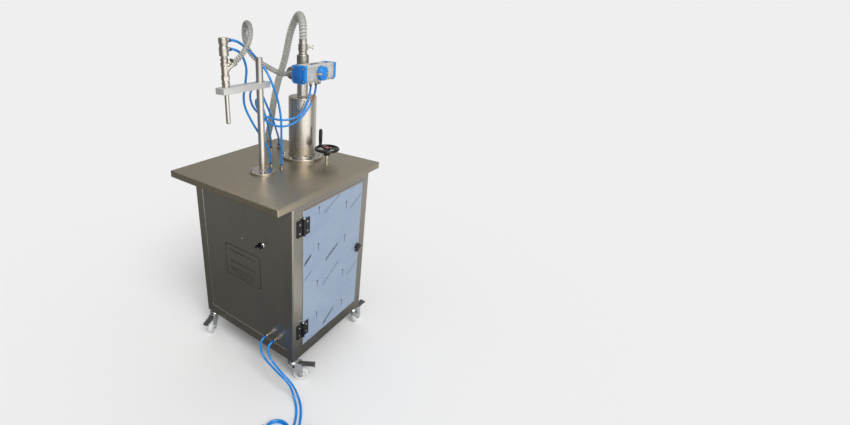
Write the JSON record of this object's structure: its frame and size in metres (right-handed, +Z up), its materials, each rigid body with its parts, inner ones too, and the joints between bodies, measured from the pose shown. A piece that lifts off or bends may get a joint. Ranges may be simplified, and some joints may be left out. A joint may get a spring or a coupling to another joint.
{
  "type": "piston paste filling machine",
  "caption": "Pneumatic piston filler on a steel cabinet with casters: suction hose, three-way valve, product cylinder, nozzle on a post, and a handwheel that sets the stroke.",
  "frame": {"origin": "on the floor under the middle of the machine, loose hoses and tubes left out", "axes": "+Z up; -Y towards the front, where the switch and the air inlets are; +X towards the door"},
  "size_m": [0.8665, 0.7839, 1.3242],
  "materials": {
    "stainless_steel": "brushed",
    "frame_steel": "satin",
    "panel_steel": "satin",
    "protective_film": "thin blue film over satin steel",
    "black_plastic": "satin",
    "bright_chrome": "polished",
    "nickel_brass": "nickel plated",
    "zinc_steel": "zinc plated",
    "white_nylon": "satin",
    "dark_pedal": "moulded",
    "blue_enamel": "glossy",
    "blue_tube": "glossy",
    "clear_hose": "translucent",
    "silver_aluminium": "satin"
  },
  "bodies": {
    "machine_frame": {"table_top": "stainless_steel", "cabinet_frame": "frame_steel", "front_panel": "panel_steel", "left_panel": "panel_steel", "rear_panel": "panel_steel", "floor_panel": "panel_steel", "upper_hinge_frame_leaf": "black_plastic", "lower_hinge_frame_leaf": "black_plastic", "selector_bezel": "bright_chrome", "air_inlet_1": "nickel_brass", "air_inlet_2": "nickel_brass", "post": "stainless_steel", "product_cylinder": "stainless_steel", "cylinder_head": "stainless_steel", "valve_body": "stainless_steel", "inlet_coupling": "stainless_steel", "outlet_coupling": "stainless_steel", "actuator_body": "silver_aluminium", "actuator_front_cap": "blue_enamel", "actuator_rear_cap": "blue_enamel", "drive_cylinder": "silver_aluminium", "air_valve": "silver_aluminium", "suction_hose": "clear_hose", "supply_tube_1": "blue_tube", "supply_tube_2": "blue_tube", "supply_coil_1": "blue_tube", "supply_coil_2": "blue_tube", "air_tube_c": "blue_tube", "air_tube_d": "blue_tube"},
    "hinged_door": {"door": "protective_film", "upper_hinge_door_leaf": "black_plastic", "lower_hinge_door_leaf": "black_plastic"},
    "latch": {"door_latch": "black_plastic"},
    "selector": {"selector_knob": "black_plastic"},
    "indicator": {"position_indicator": "blue_enamel"},
    "arm": {"arm_bar": "stainless_steel", "nozzle_tube": "stainless_steel", "nozzle_body": "stainless_steel", "nozzle_air_cylinder": "stainless_steel", "outlet_hose": "clear_hose", "air_tube_a": "blue_tube", "air_tube_b": "blue_tube"},
    "needle": {"nozzle_needle": "stainless_steel"},
    "piston": {"product_piston": "stainless_steel"},
    "stroke_handwheel": {"handwheel": "black_plastic", "adjusting_spindle": "stainless_steel"},
    "crank": {"crank_handle": "black_plastic"},
    "stroke_stop": {"stop_nut": "nickel_brass"},
    "fork_front": {"caster_fork_front": "zinc_steel"},
    "wheel_front": {"caster_wheel_front": "white_nylon"},
    "brake_front": {"caster_brake_front": "dark_pedal"},
    "fork_left": {"caster_fork_left": "zinc_steel"},
    "wheel_left": {"caster_wheel_left": "white_nylon"},
    "brake_left": {"caster_brake_left": "dark_pedal"},
    "fork_right": {"caster_fork_right": "zinc_steel"},
    "wheel_right": {"caster_wheel_right": "white_nylon"},
    "brake_right": {"caster_brake_right": "dark_pedal"},
    "fork_rear": {"caster_fork_rear": "zinc_steel"},
    "wheel_rear": {"caster_wheel_rear": "white_nylon"},
    "brake_rear": {"caster_brake_rear": "dark_pedal"}
  },
  "joints": [
    {"name": "door_hinge", "type": "hinge", "parent": "machine_frame", "child": "hinged_door", "pos_m": [0.25175, -0.1715, 0.4], "axis": [0, 0, -1], "range_deg": [0, 110]},
    {"name": "latch_turn", "type": "hinge", "parent": "hinged_door", "child": "latch", "pos_m": [0.24705, 0.1765, 0.441], "axis": [1, 0, 0], "range_deg": [0, 90]},
    {"name": "selector_turn", "type": "hinge", "parent": "machine_frame", "child": "selector", "pos_m": [0.09675, -0.2215, 0.562], "axis": [0, 1, 0], "range_deg": [-45, 45]},
    {"name": "valve_plug_turn", "type": "hinge", "parent": "machine_frame", "child": "indicator", "pos_m": [0.06205, 0.1525, 1.114], "axis": [1, 0, 0], "range_deg": [-90, 0]},
    {"name": "arm_slide", "type": "slide", "parent": "machine_frame", "child": "arm", "axis": [0, 0, 1], "range_m": [-0.18, 0.07], "deforming": ["outlet_hose", "air_tube_a", "air_tube_b"]},
    {"name": "needle_lift", "type": "slide", "parent": "arm", "child": "needle", "axis": [0, 0, 1], "range_m": [0, 0.015]},
    {"name": "piston_stroke", "type": "slide", "parent": "machine_frame", "child": "piston", "axis": [0, 0, 1], "range_m": [0, 0.17]},
    {"name": "handwheel_turn", "type": "hinge", "parent": "machine_frame", "child": "stroke_handwheel", "pos_m": [0.10275, 0.1475, 0.8], "axis": [0, 0, 1], "range_deg": [0, 10800]},
    {"name": "crank_spin", "type": "hinge", "parent": "stroke_handwheel", "child": "crank", "pos_m": [0.06144, 0.15944, 0.86], "axis": [0, 0, 1], "continuous": true},
    {"name": "stop_nut_travel", "type": "slide", "parent": "machine_frame", "child": "stroke_stop", "axis": [0, 0, -1], "range_m": [0, 0.1201]},
    {"name": "caster_swivel_front", "type": "hinge", "parent": "machine_frame", "child": "fork_front", "pos_m": [0.22575, -0.2035, 0.08], "axis": [0, 0, 1], "continuous": true},
    {"name": "wheel_spin_front", "type": "hinge", "parent": "fork_front", "child": "wheel_front", "pos_m": [0.25371, -0.18598, 0.03], "axis": [-0.5312, 0.8473, 0], "continuous": true},
    {"name": "brake_press_front", "type": "hinge", "parent": "fork_front", "child": "brake_front", "pos_m": [0.25117, -0.18757, 0.0777], "axis": [-0.5312, 0.8473, 0], "range_deg": [0, 12]},
    {"name": "caster_swivel_left", "type": "hinge", "parent": "machine_frame", "child": "fork_left", "pos_m": [-0.23925, -0.2035, 0.08], "axis": [0, 0, 1], "continuous": true},
    {"name": "wheel_spin_left", "type": "hinge", "parent": "fork_left", "child": "wheel_left", "pos_m": [-0.22638, -0.23389, 0.03], "axis": [0.9208, 0.3902, 0], "continuous": true},
    {"name": "brake_press_left", "type": "hinge", "parent": "fork_left", "child": "brake_left", "pos_m": [-0.22755, -0.23113, 0.0777], "axis": [0.9208, 0.3902, 0], "range_deg": [0, 12]},
    {"name": "caster_swivel_right", "type": "hinge", "parent": "machine_frame", "child": "fork_right", "pos_m": [0.22575, 0.2165, 0.08], "axis": [0, 0, 1], "continuous": true},
    {"name": "wheel_spin_right", "type": "hinge", "parent": "fork_right", "child": "wheel_right", "pos_m": [0.22577, 0.2495, 0.03], "axis": [-1, 0.0008, 0], "continuous": true},
    {"name": "brake_press_right", "type": "hinge", "parent": "fork_right", "child": "brake_right", "pos_m": [0.22577, 0.2465, 0.0777], "axis": [-1, 0.0008, 0], "range_deg": [0, 12]},
    {"name": "caster_swivel_rear", "type": "hinge", "parent": "machine_frame", "child": "fork_rear", "pos_m": [-0.23925, 0.2165, 0.08], "axis": [0, 0, 1], "continuous": true},
    {"name": "wheel_spin_rear", "type": "hinge", "parent": "fork_rear", "child": "wheel_rear", "pos_m": [-0.26124, 0.2411, 0.03], "axis": [-0.7457, -0.6663, 0], "continuous": true},
    {"name": "brake_press_rear", "type": "hinge", "parent": "fork_rear", "child": "brake_rear", "pos_m": [-0.25924, 0.23887, 0.0777], "axis": [-0.7457, -0.6663, 0], "range_deg": [0, 12]}
  ],
  "couplings": [
    {"joint": "stop_nut_travel", "follows": "handwheel_turn", "m_per_rad": 0.00063662}
  ]
}
